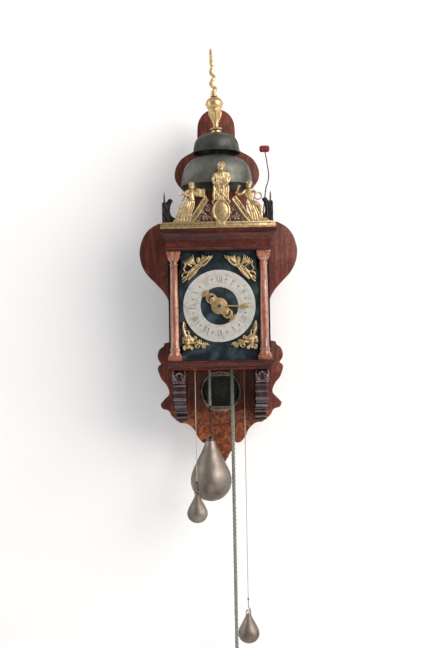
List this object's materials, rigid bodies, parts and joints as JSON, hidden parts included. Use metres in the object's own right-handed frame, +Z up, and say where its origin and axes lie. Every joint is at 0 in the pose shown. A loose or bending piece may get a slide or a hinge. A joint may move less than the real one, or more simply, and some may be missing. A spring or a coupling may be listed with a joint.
{
  "type": "chair clock",
  "caption": "Wall-hung clock on a bracket: columned case with bells and pierced crest above, pear weights on lines below, pendulum behind a shaped backboard.",
  "frame": {"origin": "on the wall, at the clock's centre line, level with the top of the shelf", "axes": "+X to the viewer's right, +Y towards the wall, +Z up"},
  "size_m": [0.3274, 0.244, 1.2599],
  "materials": {
    "carved_wood": "red-brown stained and polished",
    "dark_wood": "dark stained",
    "column_wood": "lighter, glossy",
    "velvet": "dark blue-green pile",
    "pewter": "engraved and blackened numerals",
    "gilt_brass": "cast, lacquered",
    "movement_brass": "cut and filed",
    "bell_bronze": "dark bell metal",
    "iron": "forged and filed",
    "red_faced_iron": "red leather face on the head, steel rod",
    "weight_brass": "brown tarnished cast metal",
    "green_rope": "twisted, grey-green",
    "pale_cord": "thin pale cord",
    "glass": "clear"
  },
  "bodies": {
    "case": {"backboard": "carved_wood", "pendulum_box": "dark_wood", "window_frame": "gilt_brass", "window_glass": "glass", "shelf": "carved_wood", "console_left": "carved_wood", "console_right": "carved_wood", "case_back": "dark_wood", "column_left": "column_wood", "column_right": "column_wood", "cornice": "carved_wood", "dial_board": "velvet", "chapter_ring": "pewter", "spandrel_upper_left": "gilt_brass", "spandrel_upper_right": "gilt_brass", "spandrel_lower_left": "gilt_brass", "spandrel_lower_right": "gilt_brass", "crest_rail": "gilt_brass", "crest_centre_figure": "gilt_brass", "crest_left_figure": "gilt_brass", "crest_right_figure": "gilt_brass", "side_fret_left": "dark_wood", "side_fret_right": "dark_wood", "movement_base_plate": "iron", "movement_top_plate": "iron", "front_plate": "movement_brass", "middle_plate": "movement_brass", "back_plate": "movement_brass", "pendulum_cock": "iron", "large_bell": "bell_bronze", "small_bell": "bell_bronze", "finial": "gilt_brass", "bell_standard": "iron", "rope_over_pulley": "green_rope", "drive_rope": "green_rope", "rope_tail": "green_rope", "cord_left": "pale_cord", "cord_right": "pale_cord"},
    "left_door": {"side_door_left": "carved_wood", "door_glass_left": "glass"},
    "right_door": {"side_door_right": "carved_wood", "door_glass_right": "glass"},
    "pendulum": {"pendulum": "movement_brass"},
    "verge": {"verge_and_crutch": "iron"},
    "main_weight": {"main_weight": "weight_brass"},
    "rope_tail_ring": {"rope_tail_ring": "iron"},
    "going_great_wheel": {"going_great_wheel": "movement_brass"},
    "second_wheel": {"second_wheel": "movement_brass"},
    "contrate_wheel": {"contrate_wheel": "movement_brass"},
    "crown_wheel": {"crown_wheel": "movement_brass"},
    "minute_hand": {"minute_hand": "gilt_brass"},
    "hour_hand": {"hour_hand": "gilt_brass"},
    "strike_weight": {"small_weight_right": "weight_brass"},
    "strike_great_wheel": {"strike_great_wheel": "movement_brass"},
    "warning_wheel": {"warning_wheel": "movement_brass"},
    "fly": {"fly": "movement_brass"},
    "alarm_weight": {"small_weight_left": "weight_brass"},
    "alarm_drum": {"alarm_drum": "movement_brass"},
    "half_hour_hammer": {"half_hour_hammer": "red_faced_iron"},
    "hour_hammer": {"hour_hammer": "iron"}
  },
  "joints": [
    {"name": "left_door_hinge", "type": "hinge", "parent": "case", "child": "left_door", "pos_m": [-0.0995, -0.0969, 0.1065], "axis": [0, 0, 1], "range_deg": [-95, 0]},
    {"name": "right_door_hinge", "type": "hinge", "parent": "case", "child": "right_door", "pos_m": [0.0995, -0.0969, 0.1065], "axis": [0, 0, 1], "range_deg": [0, 95]},
    {"name": "pendulum_swing", "type": "hinge", "parent": "case", "child": "pendulum", "pos_m": [0, -0.042, 0.229], "axis": [0, 1, 0], "range_deg": [-4, 4]},
    {"name": "verge_rock", "type": "hinge", "parent": "case", "child": "verge", "pos_m": [0, -0.12, 0.229], "axis": [0, 1, 0], "range_deg": [-4.2, 4.2]},
    {"name": "main_weight_drop", "type": "slide", "parent": "case", "child": "main_weight", "axis": [0, 0, -1], "range_m": [0, 0.45], "deforming": ["drive_rope"]},
    {"name": "rope_tail_rise", "type": "slide", "parent": "case", "child": "rope_tail_ring", "axis": [0, 0, 1], "range_m": [0, 0.451], "deforming": ["rope_tail"]},
    {"name": "great_wheel_turn", "type": "hinge", "parent": "case", "child": "going_great_wheel", "pos_m": [0, -0.15, 0.06], "axis": [0, 1, 0], "range_deg": [-1150, 20]},
    {"name": "second_wheel_turn", "type": "hinge", "parent": "case", "child": "second_wheel", "pos_m": [-0.01077, -0.15, 0.09432], "axis": [0, 1, 0], "range_deg": [-200, 11500]},
    {"name": "contrate_wheel_turn", "type": "hinge", "parent": "case", "child": "contrate_wheel", "pos_m": [0, -0.15, 0.122], "axis": [0, 1, 0], "range_deg": [-91500, 1600]},
    {"name": "crown_wheel_turn", "type": "hinge", "parent": "case", "child": "crown_wheel", "pos_m": [0, -0.1566, 0.18], "axis": [0, 0, 1], "range_deg": [-13000, 730000]},
    {"name": "minute_hand_turn", "type": "hinge", "parent": "case", "child": "minute_hand", "pos_m": [0, -0.2, 0.1059], "axis": [0, 1, 0], "range_deg": [-90, 3450]},
    {"name": "hour_hand_turn", "type": "hinge", "parent": "case", "child": "hour_hand", "pos_m": [0, -0.2, 0.1059], "axis": [0, 1, 0], "range_deg": [-30, 300]},
    {"name": "strike_weight_drop", "type": "slide", "parent": "case", "child": "strike_weight", "axis": [0, 0, -1], "range_m": [0, 0.15], "deforming": ["cord_right"]},
    {"name": "strike_wheel_turn", "type": "hinge", "parent": "case", "child": "strike_great_wheel", "pos_m": [0.03, -0.11, 0.06], "axis": [0, 1, 0], "range_deg": [-20, 500]},
    {"name": "warning_wheel_turn", "type": "hinge", "parent": "case", "child": "warning_wheel", "pos_m": [0.02211, -0.11, 0.08582], "axis": [0, 1, 0], "range_deg": [-3900, 50]},
    {"name": "fly_turn", "type": "hinge", "parent": "case", "child": "fly", "pos_m": [0.01412, -0.11, 0.10295], "axis": [0, 1, 0], "range_deg": [-300, 23200]},
    {"name": "alarm_weight_drop", "type": "slide", "parent": "case", "child": "alarm_weight", "axis": [0, 0, -1], "range_m": [0, 0.3], "deforming": ["cord_left"]},
    {"name": "alarm_drum_turn", "type": "hinge", "parent": "case", "child": "alarm_drum", "pos_m": [-0.04, -0.19, 0.03], "axis": [0, 1, 0], "range_deg": [-1730, 20]},
    {"name": "half_hour_hammer_blow", "type": "hinge", "parent": "case", "child": "half_hour_hammer", "pos_m": [0.0855, -0.1539, 0.236], "axis": [0, 1, 0], "range_deg": [-11, 5], "stiffness_Nm_per_rad": 0.6},
    {"name": "hour_hammer_blow", "type": "hinge", "parent": "case", "child": "hour_hammer", "pos_m": [-0.045, -0.1539, 0.236], "axis": [0, 1, 0], "range_deg": [-4, 6], "stiffness_Nm_per_rad": 0.6}
  ],
  "couplings": [
    {"joint": "verge_rock", "follows": "pendulum_swing", "ratio": 1},
    {"joint": "rope_tail_rise", "follows": "main_weight_drop", "ratio": 1},
    {"joint": "great_wheel_turn", "follows": "main_weight_drop", "rad_per_m": -43.86},
    {"joint": "second_wheel_turn", "follows": "main_weight_drop", "rad_per_m": 438.6},
    {"joint": "contrate_wheel_turn", "follows": "main_weight_drop", "rad_per_m": -3508.8},
    {"joint": "crown_wheel_turn", "follows": "main_weight_drop", "rad_per_m": 28070},
    {"joint": "minute_hand_turn", "follows": "main_weight_drop", "rad_per_m": 131.58},
    {"joint": "hour_hand_turn", "follows": "main_weight_drop", "rad_per_m": 10.965},
    {"joint": "strike_wheel_turn", "follows": "strike_weight_drop", "rad_per_m": 55.556},
    {"joint": "warning_wheel_turn", "follows": "strike_weight_drop", "rad_per_m": -444.44},
    {"joint": "fly_turn", "follows": "strike_weight_drop", "rad_per_m": 2666.7},
    {"joint": "alarm_drum_turn", "follows": "alarm_weight_drop", "rad_per_m": -100}
  ]
}
